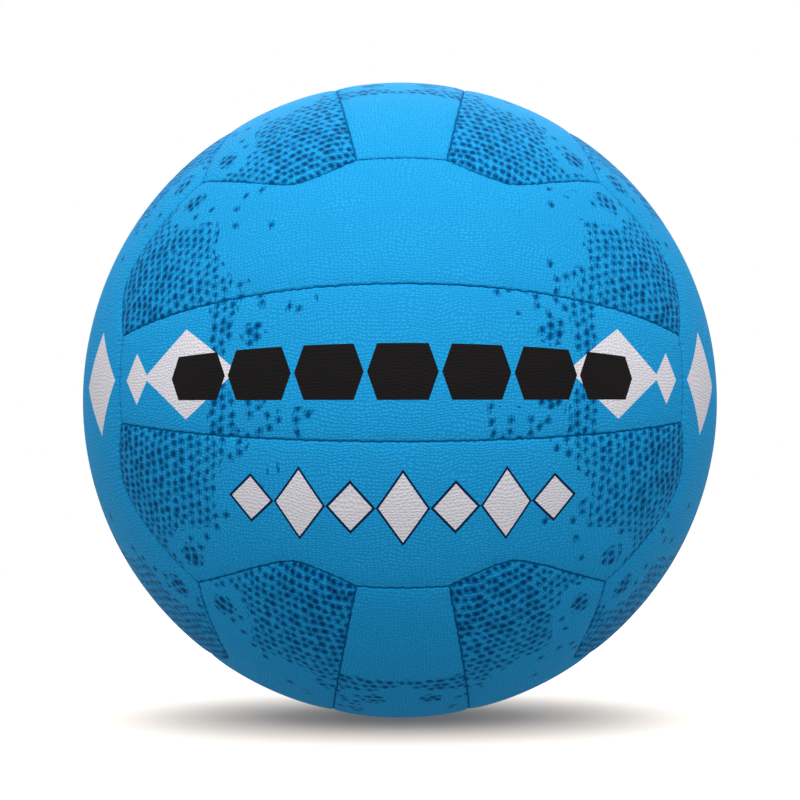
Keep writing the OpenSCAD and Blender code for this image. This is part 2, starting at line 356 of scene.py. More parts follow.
def crease_place(distance, along, seam_place, side):
    """Distance from the bottom of the crease, which wanders to and fro across the seam, and how much
    of a stitch there is here, from 0 to 1. Waves over the seam's places on the ball shift and size the
    stitches alike on both covers."""
    shift = 1.6 * waves_of(seam_place, (31.0, 47.0, 23.0)) + waves_of(seam_place, (-53.0, 19.0, 67.0))
    turn = 2 * np.pi * along / stitch_pitch + shift
    wander = (np.sin(turn * 0.61 + shift) + 0.9 * np.sin(turn * 1.43 + 2 * shift)
              + 0.4 * np.sin(turn * 0.27))
    stitch = (0.5 + 0.5 * np.cos(turn)) ** 2 * (0.6 + 0.4 * waves_of(seam_place, (43.0, -29.0, 61.0)))
    return np.abs(distance + side * wander * crease_wander), stitch


def cover_lift(distance, off_crease, stitch):
    """Height of a cover against the full sphere: a soft fall toward the seam, a narrow crease, and a
    dimple and a wrinkle at every stitch."""
    soft = pillow_drop * np.exp(-distance / pillow_reach)
    reach = crease_reach * (0.8 + 0.6 * stitch)
    crease = crease_depth * (1 - np.clip(off_crease / reach, 0, 1)) ** 1.7
    dimple = dimple_depth * stitch * np.exp(-((distance - dimple_place) / dimple_width) ** 2)
    wrinkle = wrinkle_depth * stitch * np.exp(-distance / wrinkle_reach) * np.clip(distance / mm, 0, 1)
    return -(soft + crease + dimple + wrinkle)


def rise_between(values, low, high):
    """Straight rise from 0 at low to 1 at high."""
    return np.clip((values - low) / (high - low), 0, 1)


# The ticks of an outer strip reach inward from its ends to a limit that depends on how far across
# the face they lie, and fade out over a width. The row on a middle strip starts at one that does so too.
# A blot is given by its place along and across and its radii. All are angles from the middle of the face.
limit_across = [12, 15, 20, 29.5, 32, 35, 39, 45]
limit_along = [22, 23.5, 29.5, 29.5, 36.5, 39, 40, 36]
fade_across = [12, 20, 45]
fade_width = [8, 1.2, 2]
row_across = [0, 5, 12]
row_start = [29.2, 26.8, 25.5]
row_end = 31.8
corner_blot = (35.9, 38.3, 1.9, 2.0)
middle_blot = (23.3, 5.4, 2.0, 1.7)


def in_blot(away, side, blot):
    """1 inside a blot, falling to 0 outside it: its oval distance, from 0.7 to 1.4 radii."""
    along, across, radius_along, radius_across = blot
    oval_distance = np.hypot((away - along) / radius_along, (side - across) / radius_across)
    return rise_between(-oval_distance, -1.4, -0.7)


def tick_density(outer, points):
    """How thick the printed ticks lie: up to 1 is the share of them that is there, and 1 to 2 how far
    they run into each other. On an outer strip they are full near its ends, ragged beside the middle
    strip, and make one blot by each corner. On a middle strip one row crosses it, two lumps follow, and
    a few lie by its seams."""
    along, across = angles_of(points)
    away = np.abs(along)
    side = np.abs(across)
    if outer:
        limit = np.interp(side, limit_across, limit_along)
        fade = np.interp(side, fade_across, fade_width)
        full = rise_between(away - limit, 0, fade)
        deep = np.clip((away - limit - fade) / 14, 0, 1.6) * rise_between(-side, -46, -32)
        stray = 0.11 * rise_between(away, 18, 21) * rise_between(-side, -37, -34)
        return np.maximum(np.maximum(full, stray) + deep, 3.0 * in_blot(away, side, corner_blot))
    inner = np.interp(side, row_across, row_start)
    row = 1.45 * rise_between(away - inner, 0, 0.8) * rise_between(-away, -row_end, 0.8 - row_end)
    lump = 2.7 * in_blot(away, side, middle_blot)
    few = 0.35 * rise_between(away, 12, 13) * rise_between(-away, -26, -25) * rise_between(side, 6, 8)
    return np.maximum(np.maximum(row, lump), few)


def flat_sheet(points, centre):
    """A cover's own flat coordinates in metres: the equal-area map of the sphere about its centre."""
    side = unit(np.cross([1.0, 0, 0], centre))
    forward = np.cross(centre, side)
    scale = np.sqrt(2 / (1 + points @ centre)) * ball_r
    return np.stack([(points @ forward) * scale, -(points @ side) * scale, 0 * scale], axis=-1)


def wall_faces(rim_outer, rim_inner):
    """Quads between two rims of vertex numbers that run the same way round."""
    return np.stack([rim_outer, rim_inner, np.roll(rim_inner, -1), np.roll(rim_outer, -1)], axis=-1)


def grid_faces(numbers):
    """Quads of a grid of vertex numbers."""
    return np.stack(
        [numbers[:-1, :-1], numbers[1:, :-1], numbers[1:, 1:], numbers[:-1, 1:]], axis=-1).reshape(-1, 4)


def rim_of(numbers):
    """Vertex numbers round the border of a grid, once, in the order of its quads."""
    return np.concatenate([numbers[:-1, 0], numbers[-1, :-1], numbers[:0:-1, -1], numbers[0, :0:-1]])


def mesh_object(name, points, quads, on_rim, attributes):
    """A mesh from vertices and quads, smooth but for the edges whose both ends are on a rim, with
    named values on its vertices."""
    mesh = bpy.data.meshes.new(name)
    mesh.vertices.add(len(points))
    mesh.vertices.foreach_set("co", points.astype(np.float32).ravel())
    mesh.loops.add(quads.size)
    mesh.loops.foreach_set("vertex_index", quads.astype(np.int32).ravel())
    mesh.polygons.add(len(quads))
    mesh.polygons.foreach_set("loop_start", np.arange(0, quads.size, 4, dtype=np.int32))
    mesh.update(calc_edges=True)
    mesh.polygons.foreach_set("use_smooth", np.ones(len(quads), dtype=bool))
    ends = np.empty(len(mesh.edges) * 2, dtype=np.int32)
    mesh.edges.foreach_get("vertices", ends)
    sharp = mesh.attributes.new("sharp_edge", "BOOLEAN", "EDGE")
    sharp.data.foreach_set("value", on_rim[ends.reshape(-1, 2)].all(axis=1))
    for key, values in attributes.items():
        vector = values.ndim == 2
        layer = mesh.attributes.new(key, "FLOAT_VECTOR" if vector else "FLOAT", "POINT")
        layer.data.foreach_set("vector" if vector else "value", values.astype(np.float32).ravel())
    made = bpy.data.objects.new(name, mesh)
    scene.collection.objects.link(made)
    return made


def math_of(tree, operation, a, b=None, c=None):
    """A Math node on links or numbers, which returns its output."""
    made = node_of(tree, "ShaderNodeMath", operation=operation)
    for socket, value in zip(made.inputs, (a, b, c)):
        if value is None:
            continue
        if isinstance(value, (int, float)):
            socket.default_value = value
        else:
            tree.links.new(value, socket)
    return made.outputs[0]


def smooth_of(tree, value, low, high):
    """Smooth step of a value from 0 at low to 1 at high."""
    made = node_of(tree, "ShaderNodeMapRange", interpolation_type="SMOOTHSTEP")
    tree.links.new(value, made.inputs["Value"])
    made.inputs["From Min"].default_value = low
    made.inputs["From Max"].default_value = high
    return made.outputs["Result"]


def group_of(name, inputs, outputs):
    """A shader node group with named sockets, and its input and output nodes."""
    made = bpy.data.node_groups.new(name, "ShaderNodeTree")
    for label, kind in inputs:
        made.interface.new_socket(name=label, in_out="INPUT", socket_type=kind)
    for label, kind in outputs:
        made.interface.new_socket(name=label, in_out="OUTPUT", socket_type=kind)
    return made, made.nodes.new("NodeGroupInput"), made.nodes.new("NodeGroupOutput")


# Grip pebble: rounded cells about a millimetre across, in rows that wander with a slow warp
pebble_pitch = 1.12
pebble_swirl = 5.0
pebble_squash = (0.92, 1.08, 1)
pebble_edge = 0.58
pebble, group_in, group_out = group_of(
    "grip pebble", [("Sheet", "NodeSocketVector")], [("Height", "NodeSocketFloat")])
in_mm = node_of(pebble, "ShaderNodeVectorMath", {1: (1000, 1000, 1000)}, operation="MULTIPLY")
pebble.links.new(group_in.outputs["Sheet"], in_mm.inputs[0])
warp = node_of(pebble, "ShaderNodeTexNoise", {"Scale": 0.07, "Detail": 1.0}, noise_dimensions="2D")
pebble.links.new(in_mm.outputs[0], warp.inputs["Vector"])
shift = node_of(pebble, "ShaderNodeVectorMath", {1: (0.5, 0.5, 0.5)}, operation="SUBTRACT")
pebble.links.new(warp.outputs["Color"], shift.inputs[0])
swirl = node_of(pebble, "ShaderNodeVectorMath", {1: (pebble_swirl, pebble_swirl, 0)}, operation="MULTIPLY")
pebble.links.new(shift.outputs[0], swirl.inputs[0])
moved = node_of(pebble, "ShaderNodeVectorMath", operation="ADD")
pebble.links.new(in_mm.outputs[0], moved.inputs[0])
pebble.links.new(swirl.outputs[0], moved.inputs[1])
cells = node_of(pebble, "ShaderNodeTexVoronoi", {"Scale": 1 / pebble_pitch, "Randomness": 0.45},
                voronoi_dimensions="2D", feature="F1")
squash = node_of(pebble, "ShaderNodeVectorMath", {1: pebble_squash}, operation="MULTIPLY")
pebble.links.new(moved.outputs[0], squash.inputs[0])
pebble.links.new(squash.outputs[0], cells.inputs["Vector"])
dome = math_of(pebble, "POWER", smooth_of(pebble, cells.outputs["Distance"], pebble_edge, -0.02), 1.3)
pebble.links.new(dome, group_out.inputs["Height"])

# Halftone ticks: columns of cells that sway a little, every second one shifted by half a cell. Each
# cell is kept or dropped by chance, and drawn as a dark oval core with three paler strokes, the two outer
# ones shorter. Where they lie thickest the strokes and cores swell into each other, more in some lumps
# than in others. All lengths are in millimetres.
tick_column = 3.15
tick_row = 3.75
tick_lean = 0.12
tick_sway = (2.0, 1.2, 0)
tick_throw_up = 1.1
tick_throw_side = 0.9
core_half_width = 0.78
core_half_height = 1.2
stroke_pitch = 1.02
stroke_slide = 1.5
stroke_half_length = 1.3
stroke_half_width = 0.31
outer_stroke_cut = 1.05
most_crowd = 1.7
feather_strength = 0.7
ragged = 0.55
ticks, group_in, group_out = group_of(
    "halftone ticks", [("Band", "NodeSocketVector"), ("Density", "NodeSocketFloat")],
    [("Mask", "NodeSocketFloat"), ("Core", "NodeSocketFloat")])
in_mm = node_of(ticks, "ShaderNodeVectorMath", {1: (1000, 1000, 1000)}, operation="MULTIPLY")
ticks.links.new(group_in.outputs["Band"], in_mm.inputs[0])
rough = node_of(ticks, "ShaderNodeTexNoise", {"Scale": 1.7, "Detail": 1.0}, noise_dimensions="2D")
ticks.links.new(in_mm.outputs[0], rough.inputs["Vector"])
lumps = node_of(ticks, "ShaderNodeTexNoise", {"Scale": 0.13, "Detail": 1.0}, noise_dimensions="2D")
ticks.links.new(in_mm.outputs[0], lumps.inputs["Vector"])
drift = node_of(ticks, "ShaderNodeTexNoise", {"Scale": 0.07, "Detail": 0.0}, noise_dimensions="2D")
ticks.links.new(in_mm.outputs[0], drift.inputs["Vector"])
sway = node_of(ticks, "ShaderNodeVectorMath", {1: tick_sway}, operation="MULTIPLY")
ticks.links.new(drift.outputs["Color"], sway.inputs[0])
swayed = node_of(ticks, "ShaderNodeVectorMath", operation="ADD")
ticks.links.new(in_mm.outputs[0], swayed.inputs[0])
ticks.links.new(sway.outputs[0], swayed.inputs[1])
parts = node_of(ticks, "ShaderNodeSeparateXYZ")
ticks.links.new(swayed.outputs[0], parts.inputs[0])
column_value = math_of(ticks, "DIVIDE", parts.outputs["X"], tick_column)
column = math_of(ticks, "FLOOR", column_value)
odd = math_of(ticks, "MODULO", math_of(ticks, "ABSOLUTE", column), 2.0)
row_value = math_of(ticks, "DIVIDE", parts.outputs["Y"], tick_row)
row_value = math_of(ticks, "MULTIPLY_ADD", odd, 0.5, row_value)
row = math_of(ticks, "FLOOR", row_value)


def luck_of(x, y):
    """Three random numbers from 0 to 1 for a pair of numbers."""
    pair = node_of(ticks, "ShaderNodeCombineXYZ")
    ticks.links.new(x, pair.inputs["X"])
    ticks.links.new(y, pair.inputs["Y"])
    noise = node_of(ticks, "ShaderNodeTexWhiteNoise", noise_dimensions="2D")
    ticks.links.new(pair.outputs[0], noise.inputs["Vector"])
    split = node_of(ticks, "ShaderNodeSeparateColor")
    ticks.links.new(noise.outputs["Color"], split.inputs[0])
    return split.outputs


def from_middle(value, pitch, luck, jitter):
    """Distance in millimetres from the jittered middle of a cell."""
    inner = math_of(ticks, "SUBTRACT", math_of(ticks, "FRACT", value), 0.5)
    thrown = math_of(ticks, "MULTIPLY", math_of(ticks, "SUBTRACT", luck, 0.5), jitter)
    return math_of(ticks, "MULTIPLY_ADD", inner, pitch, thrown)


cell_luck = luck_of(column, row)
up_mm = from_middle(row_value, tick_row, cell_luck[1], tick_throw_up)
side_mm = from_middle(column_value, tick_column, cell_luck[0], tick_throw_side)
leaning = math_of(ticks, "MULTIPLY_ADD", up_mm, -tick_lean, side_mm)
stroke = math_of(ticks, "ROUND", math_of(ticks, "DIVIDE", leaning, stroke_pitch))
stroke = math_of(ticks, "MAXIMUM", math_of(ticks, "MINIMUM", stroke, 1.0), -1.0)
stroke_luck = luck_of(math_of(ticks, "MULTIPLY_ADD", column, 7.0, stroke), row)
off_stroke = math_of(ticks, "ABSOLUTE", math_of(ticks, "MULTIPLY_ADD", stroke, -stroke_pitch, leaning))
slide = math_of(ticks, "MULTIPLY", math_of(ticks, "SUBTRACT", stroke_luck[0], 0.5), stroke_slide)
off_end = math_of(ticks, "ABSOLUTE", math_of(ticks, "SUBTRACT", up_mm, slide))
crowd = math_of(ticks, "MAXIMUM", math_of(ticks, "SUBTRACT", group_in.outputs["Density"], 1.0), 0.0)
lump = math_of(ticks, "MULTIPLY_ADD", smooth_of(ticks, lumps.outputs["Fac"], 0.42, 0.68), 1.5, 0.45)
crowd = math_of(ticks, "MINIMUM", math_of(ticks, "MULTIPLY", crowd, lump), most_crowd)
half_length = math_of(ticks, "MULTIPLY_ADD", stroke_luck[1], 1.3, stroke_half_length)
half_length = math_of(ticks, "MULTIPLY_ADD", crowd, 0.8, half_length)
outer_cut = math_of(ticks, "MULTIPLY", math_of(ticks, "ABSOLUTE", stroke), -outer_stroke_cut)
half_length = math_of(ticks, "ADD", half_length, outer_cut)
end_room = math_of(ticks, "MULTIPLY", math_of(ticks, "SUBTRACT", half_length, off_end), 0.22)
half_width = math_of(ticks, "MULTIPLY_ADD", crowd, 0.05, stroke_half_width)
bar = math_of(ticks, "MINIMUM", math_of(ticks, "SUBTRACT", half_width, off_stroke), end_room)
wide = math_of(ticks, "POWER", math_of(ticks, "DIVIDE", leaning, core_half_width), 2.0)
tall = math_of(ticks, "POWER", math_of(ticks, "DIVIDE", up_mm, core_half_height), 2.0)
oval = math_of(ticks, "SUBTRACT", 1.0, math_of(ticks, "SQRT", math_of(ticks, "ADD", wide, tall)))
oval = math_of(ticks, "MULTIPLY_ADD", crowd, 0.20, math_of(ticks, "MULTIPLY", oval, 0.6))
oval = math_of(ticks, "MULTIPLY_ADD", cell_luck[1], 0.16, math_of(ticks, "SUBTRACT", oval, 0.11))
uneven = math_of(ticks, "MULTIPLY", math_of(ticks, "SUBTRACT", rough.outputs["Fac"], 0.5), ragged)
body = math_of(ticks, "ADD", oval, uneven)
kept = math_of(ticks, "LESS_THAN", cell_luck[2], group_in.outputs["Density"])
feather = smooth_of(ticks, math_of(ticks, "ADD", bar, uneven), -0.08, 0.08)
feather = math_of(ticks, "MULTIPLY", feather, feather_strength)
mask = math_of(ticks, "MAXIMUM", smooth_of(ticks, body, -0.15, 0.15), feather)
ticks.links.new(math_of(ticks, "MULTIPLY", mask, kept), group_out.inputs["Mask"])
deep = smooth_of(ticks, body, 0.1, 0.75)
ticks.links.new(math_of(ticks, "MULTIPLY", deep, kept), group_out.inputs["Core"])


def mixed(tree, factor, a, b):
    """Colour a where the factor is 0 and b where it is 1; each is a link or a colour."""
    made = node_of(tree, "ShaderNodeMix", data_type="RGBA")
    tree.links.new(factor, made.inputs[0])
    for socket, value in ((made.inputs[6], a), (made.inputs[7], b)):
        if isinstance(value, tuple):
            socket.default_value = value
        else:
            tree.links.new(value, socket)
    return made.outputs[2]


def attribute_of(tree, name, output):
    """Reads a named value from the mesh."""
    return node_of(tree, "ShaderNodeAttribute", attribute_name=name).outputs[output]


def use_group(tree, group, values=None):
    """Adds a node group, with its linked or fixed inputs."""
    made = node_of(tree, "ShaderNodeGroup")
    made.node_tree = group
    for key, value in (values or {}).items():
        if isinstance(value, (int, float)):
            made.inputs[key].default_value = value
        else:
            tree.links.new(value, made.inputs[key])
    return made


# Lozenge: half height less the share of it that is used up sideways, less the way up or down, in
# millimetres from the edge and above 0 inside
lozenge, group_in, group_out = group_of(
    "lozenge", [(k, "NodeSocketFloat") for k in ("Along", "Across", "Half Width", "Half Height")],
    [("Inside", "NodeSocketFloat")])
slope = math_of(lozenge, "DIVIDE", group_in.outputs["Half Height"], group_in.outputs["Half Width"])
across_part = math_of(lozenge, "ABSOLUTE", group_in.outputs["Across"])
along_part = math_of(lozenge, "MULTIPLY", math_of(lozenge, "ABSOLUTE", group_in.outputs["Along"]), slope)
used = math_of(lozenge, "ADD", along_part, across_part)
inside = math_of(lozenge, "SUBTRACT", group_in.outputs["Half Height"], used)
lozenge.links.new(inside, group_out.inputs["Inside"])

# Row of six-sided blocks with pointed ends, repeated along at a pitch: above 0 inside, up to a reach
# from the middle, and none nearer to the middle than a start
block_pitch = 21.8
block_half_width = 10.4
block_half_height = 8.3
block_point = 0.35
block_drop = 3.0
block_reach = 76.2
block_row, group_in, group_out = group_of(
    "block row", [(k, "NodeSocketFloat") for k in ("Along", "Across", "Start", "Reach")],
    [("Inside", "NodeSocketFloat")])
turn = math_of(block_row, "WRAP", group_in.outputs["Along"], block_pitch / 2, -block_pitch / 2)
off_middle = math_of(block_row, "ABSOLUTE", group_in.outputs["Across"])
height = math_of(block_row, "SUBTRACT", block_half_height, off_middle)
slope = math_of(block_row, "MULTIPLY_ADD", off_middle, -block_point, block_half_width)
width = math_of(block_row, "SUBTRACT", slope, math_of(block_row, "ABSOLUTE", turn))
way = math_of(block_row, "ABSOLUTE", group_in.outputs["Along"])
ends = math_of(block_row, "SUBTRACT", group_in.outputs["Reach"], way)
gap = math_of(block_row, "SUBTRACT", way, group_in.outputs["Start"])
room = math_of(block_row, "MINIMUM", ends, gap)
inside = math_of(block_row, "MINIMUM", math_of(block_row, "MINIMUM", height, width), room)
block_row.links.new(inside, group_out.inputs["Inside"])


def edge_of(tree, value, inset=0.0):
    """Ink coverage from a value in millimetres from the edge, with an edge a tenth of one soft."""
    return smooth_of(tree, value, inset - 0.06, inset + 0.06)


# Each lozenge of the prints: its centre along and across, its half width and its half height, in
# millimetres
band_large = (70.0, -1.5, 19.0, 17.0)
band_small = (93.0, -1.5, 6.0, 12.0)
row_tall = (0.0, 43.5, 8.0, 12.0)
row_short = (15.5, 43.5, 7.5, 8.5)
side_mark = (0.0, 55.0, 17.0, 13.0)
row_half_pitch = 15.5
row_reach = 54.0
row_outline = 1.2


def lozenge_at(tree, along, across, lozenge_place):
    """The inside value of a lozenge of the prints."""
    middle, level, half_width, half_height = lozenge_place
    return use_group(tree, lozenge, {
        "Along": math_of(tree, "SUBTRACT", along, middle),
        "Across": math_of(tree, "SUBTRACT", across, level),
        "Half Width": half_width, "Half Height": half_height}).outputs[0]


cover_blue = (0.017, 0.375, 0.745, 1)
cover_light = (0.020, 0.39, 0.77, 1)
pebble_gap_shade_blue = (0.010, 0.285, 0.62, 1)
tick_blue = (0.0, 0.112, 0.30, 1)
tick_navy = (0.0, 0.034, 0.115, 1)
dense_blue = (0.010, 0.31, 0.68, 1)
crease_shade_blue = (0.0, 0.12, 0.30, 1)
black_ink = (0.010, 0.009, 0.009, 1)
white_ink = (0.72, 0.70, 0.76, 1)
navy_ink = (0.003, 0.018, 0.07, 1)
pebble_height = 0.16 * mm
crease_shade_from = 0.48 * mm
crease_shade_to = 0.08 * mm


def cover_material(name, add_prints):
    """Blue pebbled rubber with halftone ticks, and the prints that add_prints lays over them, with painted
    shade in the gaps between the pebbles and in the seams' creases.
    """
    made, tree, out = new_material(name)
    sheet = attribute_of(tree, "sheet", "Vector")
    band = attribute_of(tree, "band", "Vector")
    lot = attribute_of(tree, "ticks", "Fac")
    grain = use_group(tree, pebble, {"Sheet": sheet})
    marks = use_group(tree, ticks, {"Band": band, "Density": lot})
    blotch = node_of(tree, "ShaderNodeTexNoise", {"Scale": 60.0, "Detail": 3.0})
    tree.links.new(sheet, blotch.inputs["Vector"])
    tone = mixed(tree, smooth_of(tree, blotch.outputs["Fac"], 0.3, 0.7), cover_blue, cover_light)
    # Painted shade: the ground turns darker in the gaps between the pebbles, where shade falls.
    ground = mixed(tree, smooth_of(tree, grain.outputs["Height"], 0.9, 0.0), tone, pebble_gap_shade_blue)
    ground = mixed(tree, smooth_of(tree, lot, 0.7, 2.0), ground, dense_blue)
    colour = mixed(tree, marks.outputs["Mask"], ground, tick_blue)
    colour = mixed(tree, marks.outputs["Core"], colour, tick_navy)
    split = node_of(tree, "ShaderNodeSeparateXYZ")
    tree.links.new(band, split.inputs[0])
    along = math_of(tree, "MULTIPLY", split.outputs["X"], 1000.0)
    across = math_of(tree, "MULTIPLY", split.outputs["Y"], 1000.0)
    colour = add_prints(tree, along, across, colour)
    # Painted shade: the colour darkens toward the bottom of each seam's crease, where shade falls.
    crease_shade = smooth_of(tree, attribute_of(tree, "seam", "Fac"), crease_shade_from, crease_shade_to)
    colour = mixed(tree, crease_shade, colour, crease_shade_blue)
    bump = node_of(tree, "ShaderNodeBump", {"Strength": 1.0, "Distance": pebble_height})
    tree.links.new(grain.outputs["Height"], bump.inputs["Height"])
    skin = node_of(tree, "ShaderNodeBsdfPrincipled", {"Roughness": 0.65, "Specular IOR Level": 0.03})
    tree.links.new(colour, skin.inputs["Base Color"])
    tree.links.new(bump.outputs[0], skin.inputs["Normal"])
    tree.links.new(skin.outputs[0], out.inputs["Surface"])
    return made


def no_prints(tree, along, across, colour):
    """The halftone alone."""
    return colour


def band_prints(tree, along, across, colour, start=-1.0):
    """A row of black blocks, and a large and a small white lozenge at each end of the band."""
    away = math_of(tree, "ABSOLUTE", along)
    large = edge_of(tree, lozenge_at(tree, away, across, band_large))
    small = edge_of(tree, lozenge_at(tree, away, across, band_small))
    colour = mixed(tree, large, colour, white_ink)
    colour = mixed(tree, small, colour, white_ink)
    lowered = math_of(tree, "ADD", across, block_drop)
    row = use_group(
        tree, block_row, {"Along": along, "Across": lowered, "Start": start, "Reach": block_reach})
    return mixed(tree, edge_of(tree, row.outputs[0]), colour, black_ink)


def valve_band_prints(tree, along, across, colour):
    """The band's prints without the block in the middle, where the valve is."""
    return band_prints(tree, along, across, colour, block_pitch / 2)


def row_prints(tree, along, across, colour):
    """White lozenges with navy outlines, tall and short by turns, along the middle of the strip."""
    away = math_of(tree, "ABSOLUTE", math_of(tree, "WRAP", along, row_half_pitch, -row_half_pitch))
    drop = math_of(tree, "ABSOLUTE", across)
    tall = lozenge_at(tree, away, drop, row_tall)
    short = lozenge_at(tree, away, drop, row_short)
    value = math_of(tree, "MAXIMUM", tall, short)
    room = math_of(tree, "SUBTRACT", row_reach, math_of(tree, "ABSOLUTE", along))
    value = math_of(tree, "MINIMUM", value, room)
    colour = mixed(tree, edge_of(tree, value), colour, navy_ink)
    return mixed(tree, edge_of(tree, value, row_outline), colour, white_ink)


def side_prints(tree, along, across, colour):
    """One white lozenge at the middle of the strip, in line with the band of the next face."""
    down = math_of(tree, "ABSOLUTE", across)
    mark = edge_of(tree, lozenge_at(tree, along, down, side_mark))
    return mixed(tree, mark, colour, white_ink)


plain_cover = cover_material("blue cover", no_prints)
band_cover = cover_material("blue cover with blocks", band_prints)
valve_cover = cover_material("blue cover with blocks round the valve", valve_band_prints)
row_cover = cover_material("blue cover with lozenges", row_prints)
side_cover = cover_material("blue cover with side lozenge", side_prints)
finish_of_strip = {
    ("front", -1): row_cover, ("front", 0): band_cover, ("back", -1): row_cover, ("back", 0): valve_cover,
    ("left", -1): side_cover, ("left", 1): side_cover, ("right", -1): side_cover, ("right", 1): side_cover,
}


# The frame of each face, as the directions of its strips, of the step from strip to strip, and out
faces = {
    "front": ((1, 0, 0), (0, 0, 1), (0, -1, 0)),
    "back": ((-1, 0, 0), (0, 0, 1), (0, 1, 0)),
    "top": ((0, 1, 0), (-1, 0, 0), (0, 0, 1)),
    "bottom": ((0, 1, 0), (1, 0, 0), (0, 0, -1)),
    "left": ((0, 0, 1), (0, 1, 0), (-1, 0, 0)),
    "right": ((0, 0, 1), (0, -1, 0), (1, 0, 0)),
}
strip_names = {
    "front": ("lower", "middle", "upper"), "back": ("lower", "middle", "upper"),
    "top": ("right", "middle", "left"), "bottom": ("left", "middle", "right"),
    "left": ("front", "middle", "back"), "right": ("back", "middle", "front"),
}
stem_hole_r = 4.5 * mm
hole_dip = 0.5 * mm
hole_dip_reach = 1.1 * mm
hole_rings = 64


def holed_grid(borders, hole_angle, steps_out):
    """Ring grid from a round hole at the strip's middle out to its four borders."""
    low, high, left, right = (b[0] for b in borders)
    loop = np.concatenate([
        at_shares(low, steps_along)[:-1], at_shares(right, middle_steps_across)[:-1],
        at_shares(high[::-1], steps_along)[:-1], at_shares(left[::-1], middle_steps_across)[:-1],
    ])
    turn = np.arctan2(loop[:, 1], loop[:, 0])
    even = np.unwrap(turn)
    hole = np.stack([np.sin(hole_angle) * np.cos(even), np.sin(hole_angle) * np.sin(even),
                     np.full(len(even), np.cos(hole_angle))], axis=-1)
    share = steps_out[None, :, None]
    return unit(hole[:, None] * (1 - share) + loop[:, None] * share)


def cover(face, side):
    """One cover: its outer skin lowered by cover_lift, a plain inner skin, and walls between them."""
    borders = outer_borders if side else middle_borders
    centre = direction(0, (strip_half_angle + crest_angle) / 2) if side else np.array([0.0, 0, 1])
    holed = face == "back" and side == 0
    if holed:
        out_shares = 1 - (1 - np.linspace(0, 1, hole_rings)) ** 1.35
        points = holed_grid(borders, stem_hole_r / ball_r, out_shares)
    else:
        points = outer_grid if side else middle_grid
    mirrored = np.array([1, -1 if side < 0 else 1, 1])
    basis = np.array(faces[face], dtype=float)
    distance, along, seam_place, seam_side = nearest_border(points, borders)
    off_crease, stitch = crease_place(distance, along, seam_place * mirrored @ basis, seam_side)
    lift = cover_lift(distance, off_crease, stitch)
    if holed:
        from_hole = np.arccos(np.clip(points[..., 2], -1, 1)) * ball_r - stem_hole_r
        lift = lift - hole_dip * np.exp(-(from_hole / hole_dip_reach) ** 2)
    across = np.array(angles_of(points))
    values = {
        "sheet": flat_sheet(points, centre),
        "band": np.stack([*(np.radians(across) * ball_r), 0 * distance], axis=-1),
        "ticks": tick_density(side != 0, points),
        "seam": off_crease,
    }
    if side < 0:
        values["band"] = values["band"] * mirrored
        values["sheet"] = values["sheet"] * mirrored
    outer_skin = points * mirrored * (ball_r + lift)[..., None]
    inner_skin = points * mirrored * (ball_r - cover_t)
    count = distance.size
    numbers = np.arange(count).reshape(distance.shape)
    if holed:
        ring = np.concatenate([numbers, numbers[:1]])
        skin = grid_faces(ring)[:, ::-1]
        rims = [numbers[:, -1], numbers[::-1, 0]]
        walls = np.concatenate([wall_faces(rim, rim + count) for rim in rims])
    else:
        skin = grid_faces(numbers)
        walls = wall_faces(rim_of(numbers), rim_of(numbers) + count)
    quads = np.concatenate([skin, skin[:, ::-1] + count, walls])
    if side < 0:
        quads = quads[:, ::-1]
    vertices = np.concatenate([outer_skin.reshape(-1, 3), inner_skin.reshape(-1, 3)]) @ basis
    doubled = {k: np.concatenate([v.reshape(count, -1)] * 2).squeeze() for k, v in values.items()}
    strip = strip_names[face][side + 1]
    on_rim = np.zeros(2 * count, dtype=bool)
    on_rim[walls.ravel()] = True
    made = mesh_object(f"panel_{face}_{strip}", vertices, quads, on_rim, doubled)
    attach(made, "root")
    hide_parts(f"cover_{face}_{strip}")
    made.data.materials.append(finish_of_strip.get((face, side), plain_cover))


for face in faces:
    for side in (-1, 0, 1):
        cover(face, side)

# Linings
# Behind every cover a piece of woven cotton cloth is bonded, so that the rubber doesn't stretch. It
# shows only where a cover is taken off.
weave, group_in, group_out = group_of(
    "plain weave", [("Place", "NodeSocketVector"), ("Rate", "NodeSocketFloat")],
    [("Over", "NodeSocketFloat"), ("Height", "NodeSocketFloat")])
split = node_of(weave, "ShaderNodeSeparateXYZ")
weave.links.new(group_in.outputs["Place"], split.inputs[0])
warp_way = math_of(weave, "ADD", split.outputs["X"], split.outputs["Y"])
weft_way = math_of(weave, "SUBTRACT", split.outputs["Z"], split.outputs["Y"])
warp_rib = math_of(weave, "SINE", math_of(weave, "MULTIPLY", warp_way, group_in.outputs["Rate"]))
weft_rib = math_of(weave, "SINE", math_of(weave, "MULTIPLY", weft_way, group_in.outputs["Rate"]))
over = math_of(weave, "MULTIPLY", warp_rib, weft_rib)
weave.links.new(over, group_out.inputs["Over"])
weave.links.new(math_of(weave, "ABSOLUTE", over), group_out.inputs["Height"])

